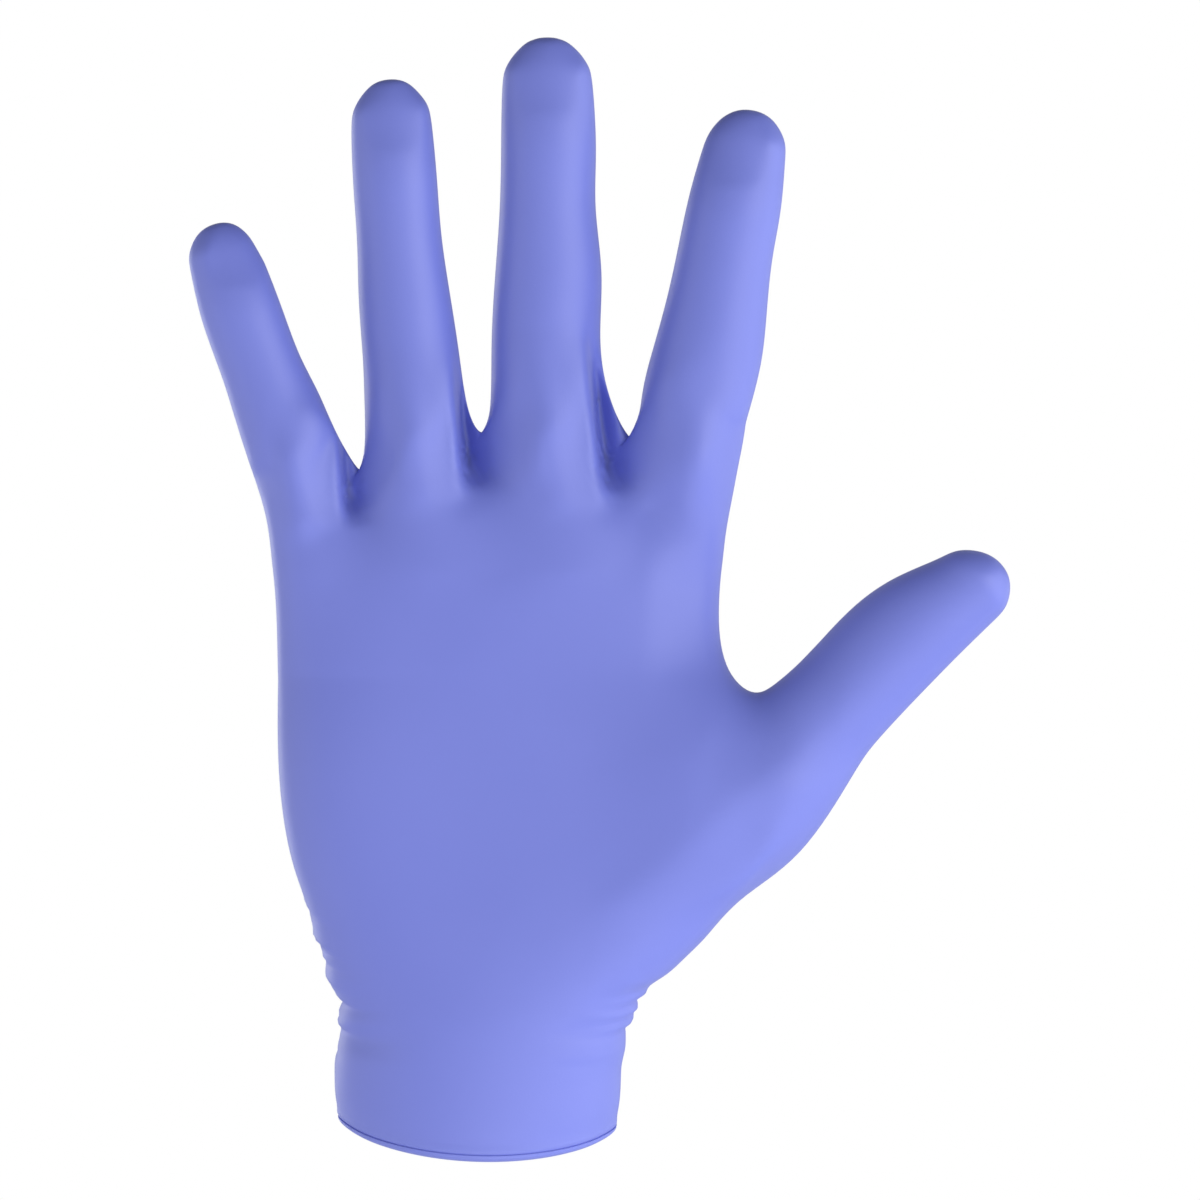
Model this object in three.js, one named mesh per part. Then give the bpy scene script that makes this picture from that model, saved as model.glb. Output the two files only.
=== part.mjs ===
// Nitrile exam glove in the shape that it takes when worn: one dipped film with four fingers,
// a thumb, webs, a palm, a cuff that crumples at the wrist, and a rolled bead at the mouth.
// Millimetres. +Z runs up along the fingers, +X to the thumb side, -Y out of the palm.
// The origin is the middle of the cuff's mouth.

import * as THREE from "three";

// Film and bead. The bead's roll goes from BEAD_FROM to BEAD_TO, in degrees above straight out.
const FILM_WALL = 1.0;
const BEAD_DIAMETER = 1.9;
const BEAD_FROM = 75;
const BEAD_TO = -210;

// Cuff, from the mouth to the wrist crease
const CUFF_LENGTH = 26;
const CUFF_WIDTH = 60;
const CUFF_DEPTH = 44;
const CUFF_TILT = 16; // degrees that the cuff leans back below the palm
const MOUTH_SLANT = 2; // degrees that the mouth drops towards the thumb side

// Palm, from the wrist crease to the web line
const PALM_LENGTH = 118;
const PALM_WIDTH = 94;
const PALM_DEPTH = 31;
const PALM_FORWARD = 9.5; // the palm's middle plane, in front of the mouth's middle
const KNUCKLE_OFFSET = 4.4; // the middle of the knuckle line, to the thumb side of the mouth

// Pads of the palm and the dips that lead to the webs. at and reach are degrees round the
// section, from the thumb side towards the palm face. up, rise and from are shares of
// PALM_LENGTH, and a dip is deepest on the web line.
const THUMB_PAD = { height: 7.8, at: 33, reach: 52, up: 0.34, rise: 0.35 };
const HEEL_PAD = { height: 2.9, at: 140, reach: 45, up: 0.36, rise: 0.40 };
const WEB_DIP = { depth: 9.6, from: 0.75 };

// Digits. base is a finger's breadth on the knuckle line, width and depth are taken at the
// middle, spread and curl are degrees to the thumb side and towards the palm, and tip moves the
// end of the dome aside as a share of the width. blunt makes a dome round (1), fuller (less) or more
// pointed (more).
const LITTLE = { length: 55.4, base: 22.4, width: 16.9, depth: 16.0, spread: -20.1, curl: 5, tip: 0, blunt: 1 };
const RING = { length: 78.0, base: 25.4, width: 18.5, depth: 17.5, spread: -4.95, curl: 6, tip: 0, blunt: 1 };
const MIDDLE = { length: 83.3, base: 31.0, width: 20.9, depth: 19.0, spread: -0.9, curl: 6, tip: 0, blunt: 1 };
const INDEX = { length: 70.1, base: 23.2, width: 20.4, depth: 18.5, spread: 10.9, curl: 5, tip: 0.02, blunt: 1 };
const THUMB = { length: 63.7, width: 22.5, depth: 22.0, spread: 48.4, curl: 11, tip: -0.05, blunt: 1.05 };

// Thumb root
const THUMB_ROOT_DEPTH = 27.6;
const THUMB_ROOT_TAPER = 0.28; // narrower towards the thumb web
const THUMB_FORWARD = 2.8; // the thumb's root, in front of the palm's middle plane

// Sections of the cuff. up is a share of CUFF_LENGTH, little and thumb are the reach to each
// side as shares of half CUFF_WIDTH, front and back are shares of half CUFF_DEPTH.
const CUFF_ROWS = [
  { up: 0.00, little: 0.982, thumb: 0.962, front: 1.00, back: 1.00, full: 1.30 },
  { up: 0.25, little: 1.004, thumb: 0.992, front: 0.99, back: 0.99, full: 1.18 },
  { up: 0.50, little: 0.998, thumb: 1.005, front: 0.97, back: 0.97, full: 1.06 },
  { up: 0.77, little: 0.976, thumb: 1.060, front: 0.95, back: 0.94, full: 0.98 },
  { up: 1.00, little: 0.992, thumb: 1.140, front: 0.93, back: 0.91, full: 0.94 },
];

// Sections of the palm. up is a share of PALM_LENGTH, little and thumb are shares of half
// PALM_WIDTH, front and back of half PALM_DEPTH. full makes a section round (1), boxy (less) or
// flatter towards its sides (more).
const PALM_ROWS = [
  { up: 0.051, little: 0.678, thumb: 0.848, front: 1.26, back: 1.20, full: 0.92 },
  { up: 0.110, little: 0.720, thumb: 1.006, front: 1.19, back: 1.12, full: 0.90 },
  { up: 0.178, little: 0.768, thumb: 1.166, front: 1.10, back: 1.05, full: 0.87 },
  { up: 0.263, little: 0.836, thumb: 1.430, front: 1.00, back: 1.00, full: 0.84 },
  { up: 0.407, little: 0.885, thumb: 1.320, front: 0.89, back: 0.96, full: 0.80 },
  { up: 0.551, little: 0.889, thumb: 1.205, front: 0.83, back: 0.93, full: 0.84 },
  { up: 0.591, little: 0.890, thumb: 1.104, front: 0.82, back: 0.92, full: 0.84 },
  { up: 0.700, little: 0.898, thumb: 1.072, front: 0.79, back: 0.88, full: 0.70 },
  { up: 0.785, little: 0.918, thumb: 1.090, front: 0.79, back: 0.84, full: 0.62 },
  { up: 0.855, little: 0.942, thumb: 1.114, front: 0.79, back: 0.80, full: 0.52 },
];
const THUMB_ROW = 8; // the first of the three sections that the thumb's root opens in

// Webs and outer sides of the knuckle line, from the little finger's side to the index finger's.
// up is the height of the web's edge and of its feet on either face, as shares of PALM_LENGTH.
// out is how far a foot stands out, and aside how far it lies to the thumb side of the edge, as
// shares of half PALM_DEPTH.
const WEBS = [
  { up: 0.924, front: { up: 0.918, out: 0.36, aside: 0.17 }, back: { up: 0.905, out: 0.36, aside: 0.17 } },
  { up: 0.939, front: { up: 0.902, out: 0.13, aside: -0.20 }, back: { up: 0.900, out: 0.38, aside: 0.00 } },
  { up: 1.007, front: { up: 0.946, out: 0.10, aside: -0.20 }, back: { up: 0.930, out: 0.46, aside: 0.00 } },
  { up: 0.996, front: { up: 0.942, out: 0.10, aside: -0.34 }, back: { up: 0.930, out: 0.46, aside: 0.00 } },
  { up: 0.992, front: { up: 0.975, out: 0.36, aside: -0.18 }, back: { up: 0.955, out: 0.36, aside: -0.18 } },
];

// Roots of the fingers. up is the root's centre, pad_up and knuckle_up its front and back, as
// shares of PALM_LENGTH. aside moves the finger's axis from the middle of its base, as a share
// of the base. forward is the axis and out the pad and the knuckle, as shares of half PALM_DEPTH.
const ROOTS = [
  { digit: LITTLE, up: 0.932, pad_up: 0.915, knuckle_up: 0.900, aside: -0.040, forward: 0.10, out: 0.63 },
  { digit: RING, up: 0.970, pad_up: 0.945, knuckle_up: 0.930, aside: -0.012, forward: 0.04, out: 0.76 },
  { digit: MIDDLE, up: 0.997, pad_up: 0.955, knuckle_up: 0.945, aside: -0.032, forward: 0.00, out: 0.79 },
  { digit: INDEX, up: 0.992, pad_up: 0.945, knuckle_up: 0.930, aside: 0.000, forward: 0.05, out: 0.71 },
];

// Sections of the digits. along is a share of the length, width and depth are shares of the
// digit's own width and depth, and aside is a share of its width. A dome closes the last one.
const LITTLE_ROWS = [
  { along: 0.11, width: 1.140, depth: 1.10, aside: -0.018 },
  { along: 0.27, width: 1.080, depth: 1.06, aside: -0.026 },
  { along: 0.42, width: 1.000, depth: 1.02, aside: -0.041 },
  { along: 0.57, width: 0.988, depth: 0.98, aside: -0.043 },
  { along: 0.71, width: 0.968, depth: 0.93, aside: -0.034 },
  { along: 0.85, width: 0.890, depth: 0.86, aside: -0.012 },
];
const RING_ROWS = [
  { along: 0.10, width: 1.175, depth: 1.14, aside: -0.016 },
  { along: 0.25, width: 1.090, depth: 1.07, aside: -0.022 },
  { along: 0.41, width: 1.035, depth: 1.03, aside: -0.038 },
  { along: 0.57, width: 0.957, depth: 0.97, aside: -0.038 },
  { along: 0.72, width: 0.946, depth: 0.92, aside: -0.028 },
  { along: 0.87, width: 0.909, depth: 0.85, aside: -0.014 },
];
const MIDDLE_ROWS = [
  { along: 0.10, width: 1.190, depth: 1.12, aside: -0.024 },
  { along: 0.25, width: 1.086, depth: 1.07, aside: -0.055 },
  { along: 0.41, width: 1.062, depth: 1.03, aside: -0.022 },
  { along: 0.57, width: 0.960, depth: 0.97, aside: -0.018 },
  { along: 0.72, width: 0.947, depth: 0.92, aside: 0.000 },
  { along: 0.87, width: 0.905, depth: 0.85, aside: 0.000 },
];
const INDEX_ROWS = [
  { along: 0.10, width: 1.102, depth: 1.10, aside: 0.005 },
  { along: 0.25, width: 1.112, depth: 1.07, aside: 0.032 },
  { along: 0.41, width: 1.034, depth: 1.03, aside: 0.034 },
  { along: 0.57, width: 0.970, depth: 0.97, aside: 0.016 },
  { along: 0.72, width: 0.946, depth: 0.92, aside: 0.016 },
  { along: 0.86, width: 0.856, depth: 0.85, aside: 0.014 },
];
const THUMB_ROWS = [
  { along: 0.17, width: 1.170, depth: 1.14, aside: -0.062 },
  { along: 0.30, width: 1.035, depth: 1.06, aside: -0.090 },
  { along: 0.44, width: 1.015, depth: 1.03, aside: -0.126 },
  { along: 0.58, width: 1.000, depth: 1.02, aside: -0.152 },
  { along: 0.72, width: 0.915, depth: 0.97, aside: -0.138 },
  { along: 0.85, width: 0.780, depth: 0.86, aside: -0.090 },
];
const DIGIT_ROWS = [LITTLE_ROWS, RING_ROWS, MIDDLE_ROWS, INDEX_ROWS];

// Crumples at the wrist. at and reach are degrees round the cuff, from the thumb side towards
// the palm face, up and rise are shares of CUFF_LENGTH, breadth and deep are shares of it too.
const FOLDS = [
  { at: 180, reach: 46, up: 1.00, rise: -0.10, breadth: 0.070, deep: 0.045 },
  { at: 172, reach: 60, up: 0.74, rise: -0.16, breadth: 0.060, deep: 0.040 },
  { at: 186, reach: 38, up: 1.38, rise: 0.06, breadth: 0.080, deep: 0.030 },
  { at: 2, reach: 44, up: 1.06, rise: 0.08, breadth: 0.070, deep: 0.048 },
  { at: 12, reach: 52, up: 0.82, rise: 0.12, breadth: 0.060, deep: 0.038 },
];

// Resolution
const PALM_COLUMNS = 20;
const WEB_COLUMNS = [3, 5, 7, 13, 15, 17]; // the columns that lead to the webs
const DIGIT_COLUMNS = 8;
const DOME_STEPS = 3;
const FIT_PASSES = 16;
const BEAD_SIDES = 7;

const radians = THREE.MathUtils.degToRad;

// The line that the middles of the sections follow from the mouth: it leans forward by
// CUFF_TILT at the mouth and is upright from this height on.
const UPRIGHT_FROM = (2 * PALM_FORWARD) / Math.tan(radians(CUFF_TILT));
const lean = (height) => Math.tan(radians(CUFF_TILT)) * Math.max(0, 1 - Math.max(0, height) / UPRIGHT_FROM);
const middleY = (height) => -PALM_FORWARD * (1 - Math.max(0, 1 - Math.max(0, height) / UPRIGHT_FROM) ** 2);

const slant = (height) => Math.tan(radians(MOUTH_SLANT)) * Math.max(0, 1 - height / CUFF_LENGTH);

// The turn from one direction to another, between -180 and 180 degrees
const turnFrom = (start, angle) => THREE.MathUtils.euclideanModulo(angle - start + 180, 360) - 180;

// A smooth bump: 1 in its middle, 0 from reach away on
function bump(away, reach) {
  const share = Math.abs(away) / reach;
  return share < 1 ? Math.cos((share * Math.PI) / 2) ** 2 : 0;
}

const padHeight = (pad, turn, up) =>
  pad.height * bump(turnFrom(pad.at, turn), pad.reach) * bump(up - pad.up, pad.rise);

const webDip = (up) => WEB_DIP.depth * Math.max(0, (up - WEB_DIP.from) / (1 - WEB_DIP.from));

// One closed section of the cuff or palm, from the thumb side round by the palm face
function sectionRing({ height, little, thumb, front, back, full, up = 0 }) {
  const ring = [];
  for (let column = 0; column < PALM_COLUMNS; column += 1) {
    const turn = (360 * column) / PALM_COLUMNS;
    const across = Math.cos(radians(turn));
    const out = Math.abs(Math.sin(radians(turn))) ** full;
    const facesFront = turn > 0 && turn < 180;
    const x = (thumb - little) / 2 + ((thumb + little) / 2) * across;
    const pads = padHeight(THUMB_PAD, turn, up) + padHeight(HEEL_PAD, turn, up);
    const dip = WEB_COLUMNS.includes(column) ? webDip(up) : 0;
    const y = facesFront ? dip - (front * out + pads) : back * out - dip;
    ring.push(new THREE.Vector3(x, middleY(height) + y, height + y * lean(height) - x * slant(height)));
  }
  return ring;
}

function cuffAndPalmRings() {
  const rings = [];
  for (const row of CUFF_ROWS) {
    rings.push(sectionRing({
      height: BEAD_DIAMETER / 2 + row.up * (CUFF_LENGTH - BEAD_DIAMETER / 2),
      little: (row.little * CUFF_WIDTH) / 2,
      thumb: (row.thumb * CUFF_WIDTH) / 2,
      front: (row.front * CUFF_DEPTH) / 2,
      back: (row.back * CUFF_DEPTH) / 2,
      full: row.full,
    }));
  }
  for (const row of PALM_ROWS) {
    rings.push(sectionRing({
      height: CUFF_LENGTH + row.up * PALM_LENGTH,
      little: (row.little * PALM_WIDTH) / 2,
      thumb: (row.thumb * PALM_WIDTH) / 2,
      front: (row.front * PALM_DEPTH) / 2,
      back: (row.back * PALM_DEPTH) / 2,
      full: row.full,
      up: row.up,
    }));
  }
  return rings;
}

// Places of the webs across the hand: the fingers' bases side by side
function webPlaces() {
  const bases = ROOTS.map((root) => root.digit.base);
  const breadth = bases.reduce((sum, base) => sum + base, 0);
  const places = [KNUCKLE_OFFSET - breadth / 2];
  for (const base of bases) places.push(places[places.length - 1] + base);
  return places;
}

// A digit's own frame: where it starts, the way that it points and the way across it
function digitFrame(digit, centre) {
  const spread = radians(digit.spread);
  return {
    digit,
    centre,
    along: new THREE.Vector3(Math.sin(spread), 0, Math.cos(spread)),
    across: new THREE.Vector3(Math.cos(spread), 0, -Math.sin(spread)),
  };
}

// A point of a digit: share of the length, then distances across it and out of its back
function digitPoint({ digit, centre, along, across }, share, aside, outward) {
  const bend = digit.length * Math.tan(radians(digit.curl)) * share ** 2;
  return centre.clone()
    .addScaledVector(along, share * digit.length)
    .addScaledVector(across, aside)
    .add(new THREE.Vector3(0, outward - bend, 0));
}

function digitRing(frame, share, width, depth, aside) {
  const ring = [];
  for (let column = 0; column < DIGIT_COLUMNS; column += 1) {
    const turn = radians((360 * column) / DIGIT_COLUMNS);
    ring.push(digitPoint(frame, share, aside + (width / 2) * Math.cos(turn), (-depth / 2) * Math.sin(turn)));
  }
  return ring;
}

// All rings of a digit above its root, and its tip
function digitRings(frame, rows) {
  const { digit } = frame;
  const rings = rows.map((row) => digitRing(
    frame, row.along, row.width * digit.width, row.depth * digit.depth, row.aside * digit.width));
  const last = rows[rows.length - 1];
  for (let step = 1; step < DOME_STEPS; step += 1) {
    const rise = (Math.PI / 2) * (step / DOME_STEPS);
    const share = last.along + (1 - last.along) * Math.sin(rise);
    const narrowing = Math.cos(rise) ** digit.blunt;
    const width = last.width * digit.width * narrowing;
    const depth = last.depth * digit.depth * narrowing;
    const aside = THREE.MathUtils.lerp(last.aside, digit.tip, Math.sin(rise)) * digit.width;
    rings.push(digitRing(frame, share, width, depth, aside));
  }
  return { rings, tip: digitPoint(frame, 1, digit.tip * digit.width, 0) };
}

// The cage that the smooth film follows: places that the film passes through, and four-sided
// faces between them, wound so that they face out
class Cage {
  constructor() {
    this.points = [];
    this.faces = [];
  }

  add(point) {
    this.points.push(point);
    return this.points.length - 1;
  }

  addRing(ring) {
    return ring.map((point) => this.add(point));
  }

  // Faces between two rings of the same count, leaving out the named columns
  join(lower, upper, leftOut = []) {
    lower.forEach((_, column) => {
      const next = (column + 1) % lower.length;
      if (leftOut.includes(column)) return;
      this.faces.push([lower[column], upper[column], upper[next], lower[next]]);
    });
  }

  // Four faces that close a ring of eight on its tip
  close(ring, tip) {
    for (let column = 0; column < ring.length; column += 2) {
      const next = (column + 1) % ring.length;
      const beyond = (column + 2) % ring.length;
      this.faces.push([ring[column], tip, ring[beyond], ring[next]]);
    }
  }
}

function addDigit(cage, root, frame, rows) {
  const { rings, tip } = digitRings(frame, rows);
  let below = root;
  for (const ring of rings) {
    const here = cage.addRing(ring);
    cage.join(below, here);
    below = here;
  }
  cage.close(below, cage.add(tip));
}

// The ring of eight that the thumb grows from, between its lower side and the thumb web
function thumbRootPoints(lower, web) {
  const middle = lower.clone().add(web).multiplyScalar(0.5);
  const half = lower.clone().sub(web).multiplyScalar(0.5);
  const points = [];
  for (let column = 0; column < DIGIT_COLUMNS; column += 1) {
    const turn = radians((360 * column) / DIGIT_COLUMNS);
    const taper = 1 + THUMB_ROOT_TAPER * Math.cos(turn);
    const y = -THUMB_FORWARD - (THUMB_ROOT_DEPTH / 2) * taper * Math.sin(turn);
    points.push(middle.clone().addScaledVector(half, Math.cos(turn)).add(new THREE.Vector3(0, y, 0)));
  }
  return { middle: middle.add(new THREE.Vector3(0, -THUMB_FORWARD, 0)), points };
}

// The cage without points that no face uses
function withoutStrays(cage) {
  const used = [...new Set(cage.faces.flat())].sort((a, b) => a - b);
  const place = new Map(used.map((index, i) => [index, i]));
  return {
    points: used.map((index) => cage.points[index]),
    faces: cage.faces.map((face) => face.map((index) => place.get(index))),
  };
}

function buildCage() {
  const cage = new Cage();
  const rows = cuffAndPalmRings().map((ring) => cage.addRing(ring));

  // Thumb root: three sections, one column to either side of the thumb side
  const [low, mid, high] = [rows[THUMB_ROW], rows[THUMB_ROW + 1], rows[THUMB_ROW + 2]];
  const last = PALM_COLUMNS - 1;
  const thumbRoot = [low[0], low[1], mid[1], high[1], high[0], high[last], mid[last], low[last]];
  const { middle, points } = thumbRootPoints(cage.points[low[0]], cage.points[high[0]]);
  thumbRoot.forEach((index, column) => cage.points[index].copy(points[column]));

  for (let row = 0; row + 1 < rows.length; row += 1) {
    const atThumb = row === THUMB_ROW || row === THUMB_ROW + 1;
    cage.join(rows[row], rows[row + 1], atThumb ? [0, last] : []);
  }
  addDigit(cage, thumbRoot, digitFrame(THUMB, middle), THUMB_ROWS);

  // Knuckle ring: each web has a foot on the palm face, an edge and a foot on the back
  const places = webPlaces();
  const point = (x, y, up) => cage.add(new THREE.Vector3(
    x, (y * PALM_DEPTH) / 2 - PALM_FORWARD, CUFF_LENGTH + up * PALM_LENGTH));
  const edges = WEBS.map((web, i) => point(places[i], 0, web.up));
  const foot = (place, { up, out, aside }, side) => point(place + (aside * PALM_DEPTH) / 2, side * out, up);
  const fronts = WEBS.map((web, i) => foot(places[i], web.front, -1));
  const backs = WEBS.map((web, i) => foot(places[i], web.back, 1));
  const centres = ROOTS.map((root, i) => (places[i] + places[i + 1]) / 2 + root.aside * root.digit.base);
  const pads = ROOTS.map((root, i) => point(centres[i], -root.out - root.forward, root.pad_up));
  const knuckles = ROOTS.map((root, i) => point(centres[i], root.out - root.forward, root.knuckle_up));

  const knuckleRing = [edges[4]];
  for (let i = 3; i >= 0; i -= 1) knuckleRing.push(fronts[i + 1], pads[i]);
  knuckleRing.push(fronts[0], edges[0]);
  for (let i = 0; i <= 3; i += 1) knuckleRing.push(backs[i], knuckles[i]);
  knuckleRing.push(backs[4]);
  cage.join(rows[rows.length - 1], knuckleRing);

  ROOTS.forEach((root, i) => {
    const palmSide = [fronts[i + 1], pads[i], fronts[i]];
    const backSide = [backs[i], knuckles[i], backs[i + 1]];
    const ring = [edges[i + 1], ...palmSide, edges[i], ...backSide];
    const centre = new THREE.Vector3(
      centres[i], (-root.forward * PALM_DEPTH) / 2 - PALM_FORWARD, CUFF_LENGTH + root.up * PALM_LENGTH);
    addDigit(cage, ring, digitFrame(root.digit, centre), DIGIT_ROWS[i]);
  });
  return withoutStrays(cage);
}

// For each point, the neighbours along edges, those across a face, and those along the open rim
function neighbours(count, faces) {
  const around = Array.from({ length: count }, () => ({ edge: new Set(), across: [], rim: [] }));
  const sides = new Map();
  for (const face of faces) {
    face.forEach((index, corner) => {
      const next = face[(corner + 1) % 4];
      around[index].edge.add(next);
      around[next].edge.add(index);
      around[index].across.push(face[(corner + 2) % 4]);
      const key = Math.min(index, next) * count + Math.max(index, next);
      sides.set(key, (sides.get(key) ?? 0) + 1);
    });
  }
  for (const [key, uses] of sides) {
    if (uses === 2) continue;
    const a = Math.floor(key / count);
    const b = key % count;
    around[a].rim.push(b);
    around[b].rim.push(a);
  }
  return around;
}

// Where a point of the cage lies on the smooth surface that Catmull and Clark's rule gives
function limitPoint(points, around, index) {
  const { edge, across, rim } = around[index];
  const sum = new THREE.Vector3();
  if (rim.length === 2) {
    sum.addScaledVector(points[index], 4).add(points[rim[0]]).add(points[rim[1]]);
    return sum.divideScalar(6);
  }
  const n = edge.size;
  sum.addScaledVector(points[index], n * n);
  for (const other of edge) sum.addScaledVector(points[other], 4);
  for (const other of across) sum.add(points[other]);
  return sum.divideScalar(n * (n + 5));
}

// Move the cage until its smooth surface passes through the given places
function fitted(targets, faces) {
  const around = neighbours(targets.length, faces);
  let points = targets.map((target) => target.clone());
  for (let pass = 0; pass < FIT_PASSES; pass += 1) {
    points = points.map((point, i) => point.clone().add(targets[i]).sub(limitPoint(points, around, i)));
  }
  return points;
}

// One step of Catmull and Clark's subdivision
function subdivided(points, faces) {
  const around = neighbours(points.length, faces);
  const facePoints = faces.map((face) => face.reduce(
    (sum, index) => sum.addScaledVector(points[index], 0.25), new THREE.Vector3()));

  const edges = new Map();
  const keyOf = (a, b) => Math.min(a, b) * points.length + Math.max(a, b);
  faces.forEach((face, f) => face.forEach((index, corner) => {
    const next = face[(corner + 1) % 4];
    const key = keyOf(index, next);
    if (!edges.has(key)) edges.set(key, { ends: [index, next], faces: [] });
    edges.get(key).faces.push(f);
  }));

  const moved = points.map((point, index) => {
    const { edge, across, rim } = around[index];
    const sum = new THREE.Vector3();
    if (rim.length === 2) {
      return sum.addScaledVector(point, 6).add(points[rim[0]]).add(points[rim[1]]).divideScalar(8);
    }
    const n = edge.size;
    sum.addScaledVector(point, 4 * n * n - 7 * n);
    for (const other of edge) sum.addScaledVector(points[other], 6);
    for (const other of across) sum.add(points[other]);
    return sum.divideScalar(4 * n * n);
  });

  const result = [...moved, ...facePoints];
  const edgeIndex = new Map();
  for (const [key, side] of edges) {
    const sum = points[side.ends[0]].clone().add(points[side.ends[1]]);
    const inside = side.faces.length === 2;
    if (inside) side.faces.forEach((f) => sum.add(facePoints[f]));
    edgeIndex.set(key, result.length);
    result.push(sum.divideScalar(inside ? 4 : 2));
  }

  const quads = [];
  faces.forEach((face, f) => face.forEach((index, corner) => {
    const next = edgeIndex.get(keyOf(index, face[(corner + 1) % 4]));
    const before = edgeIndex.get(keyOf(index, face[(corner + 3) % 4]));
    quads.push([index, next, points.length + f, before]);
  }));
  return { points: result, faces: quads };
}

function pointNormals(points, faces) {
  const normals = points.map(() => new THREE.Vector3());
  for (const face of faces) {
    const diagonal = points[face[2]].clone().sub(points[face[0]]);
    const normal = diagonal.cross(points[face[3]].clone().sub(points[face[1]]));
    for (const index of face) normals[index].add(normal);
  }
  return normals.map((normal) => normal.normalize());
}

// How deep the crumples press in at a point of the film
function foldDepth(point) {
  const height = point.z - (point.y - middleY(point.z)) * lean(point.z);
  const turn = THREE.MathUtils.radToDeg(Math.atan2(-(point.y - middleY(height)), point.x));
  let depth = 0;
  for (const fold of FOLDS) {
    const away = turnFrom(fold.at, turn);
    const line = (fold.up + fold.rise * (away / fold.reach)) * CUFF_LENGTH;
    const off = (height - line) / (fold.breadth * CUFF_LENGTH);
    depth += fold.deep * CUFF_LENGTH * bump(away, fold.reach) * Math.exp(-off * off);
  }
  return depth;
}

// The film's open edge at the mouth, as a loop of points in the order that the faces turn
function rimLoop(faces) {
  const sides = faces.flatMap((face) => face.map((index, corner) => [index, face[(corner + 1) % 4]]));
  const known = new Set(sides.map(([a, b]) => `${a}>${b}`));
  const follow = new Map(sides.filter(([a, b]) => !known.has(`${b}>${a}`)));
  const start = follow.keys().next().value;
  const loop = [start];
  for (let at = follow.get(start); at !== start; at = follow.get(at)) loop.push(at);
  return loop;
}

function splitQuad(points, [a, b, c, d]) {
  const shortAC = points[a].distanceToSquared(points[c]) <= points[b].distanceToSquared(points[d]);
  return shortAC ? [a, b, c, a, c, d] : [a, b, d, b, c, d];
}

// Faces of the bead: a roll round the mouth from the film's outer skin to its inner skin
function addBead(points, triangles, outerRim, innerRim, normals) {
  const radius = BEAD_DIAMETER / 2;
  const start = radians(BEAD_FROM);
  const tilt = radians(CUFF_TILT);
  const down = new THREE.Vector3(0, Math.sin(tilt), -Math.cos(tilt));
  const rings = [outerRim];
  for (let side = 1; side <= BEAD_SIDES; side += 1) {
    const turn = radians(BEAD_FROM + (side * (BEAD_TO - BEAD_FROM)) / (BEAD_SIDES + 1));
    rings.push(outerRim.map((index) => {
      const out = normals[index].clone().addScaledVector(down, -normals[index].dot(down)).normalize();
      const place = points[index].clone()
        .addScaledVector(out, radius * (Math.cos(turn) - Math.cos(start)))
        .addScaledVector(down, radius * (Math.sin(start) - Math.sin(turn)));
      return points.push(place) - 1;
    }));
  }
  rings.push(innerRim);
  for (let side = 0; side + 1 < rings.length; side += 1) {
    outerRim.forEach((_, i) => {
      const next = (i + 1) % outerRim.length;
      const quad = [rings[side][i], rings[side + 1][i], rings[side + 1][next], rings[side][next]];
      triangles.push(...splitQuad(points, quad));
    });
  }
}

function filmGeometry() {
  const cage = buildCage();
  const fine = subdivided(fitted(cage.points, cage.faces), cage.faces);
  const around = neighbours(fine.points.length, fine.faces);
  const smooth = fine.points.map((_, index) => limitPoint(fine.points, around, index));
  const normals = pointNormals(smooth, fine.faces);
  const outer = smooth.map((point, i) => point.clone().addScaledVector(normals[i], -foldDepth(point)));
  const inner = outer.map((point, i) => point.clone().addScaledVector(normals[i], -FILM_WALL));

  const points = [...outer, ...inner];
  const triangles = [];
  for (const face of fine.faces) {
    triangles.push(...splitQuad(points, face));
    const [a, b, c, d] = face.map((index) => index + outer.length);
    triangles.push(...splitQuad(points, [d, c, b, a]));
  }
  const rim = rimLoop(fine.faces);
  addBead(points, triangles, rim, rim.map((index) => index + outer.length), normals);

  const geometry = new THREE.BufferGeometry().setFromPoints(points);
  geometry.setIndex(triangles);
  geometry.computeVertexNormals();
  return geometry;
}

const film = new THREE.MeshStandardMaterial({ color: "#7885d6", roughness: 0.5, metalness: 0 });
const glove = new THREE.Mesh(filmGeometry(), film);
glove.name = "nitrile_glove";

const model = new THREE.Group();
model.add(glove);

export default model;
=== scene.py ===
"""Looks of the nitrile exam glove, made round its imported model.

Metres, in the model's own frame: +Z runs up along the fingers, +X to the thumb side, -Y out of
the palm, and the origin is the middle of the cuff's mouth. The glove is one dipped film with a
rolled bead at its mouth, so it stays one piece here too.

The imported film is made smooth. Geometry Nodes then work its finer shape in: the crumples at the
wrist, the roll of the bead, the creases and recesses at the webs, the flanks of the palm and the
rounding of the fingertips. One procedural material gives it the satin look of nitrile.
"""

import math

import bmesh
import bpy
from mathutils import Matrix, Vector


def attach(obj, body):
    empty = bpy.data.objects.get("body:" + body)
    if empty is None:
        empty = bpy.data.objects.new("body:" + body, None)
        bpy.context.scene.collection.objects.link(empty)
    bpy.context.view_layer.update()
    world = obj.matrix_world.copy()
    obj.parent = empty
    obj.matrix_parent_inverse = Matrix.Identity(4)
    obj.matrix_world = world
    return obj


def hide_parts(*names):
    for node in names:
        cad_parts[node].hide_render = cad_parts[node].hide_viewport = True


# Units: the film's finer shape is given in millimetres and degrees
TO_MILLIMETRES = 1000.0
TO_METRES = 0.001
HALF_TURN = 180.0

# Film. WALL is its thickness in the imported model, in millimetres.
MERGE_DISTANCE = 1e-6
SMOOTH_LEVELS = 2
FIT_PASSES = 8
WALL = 1.0

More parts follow.
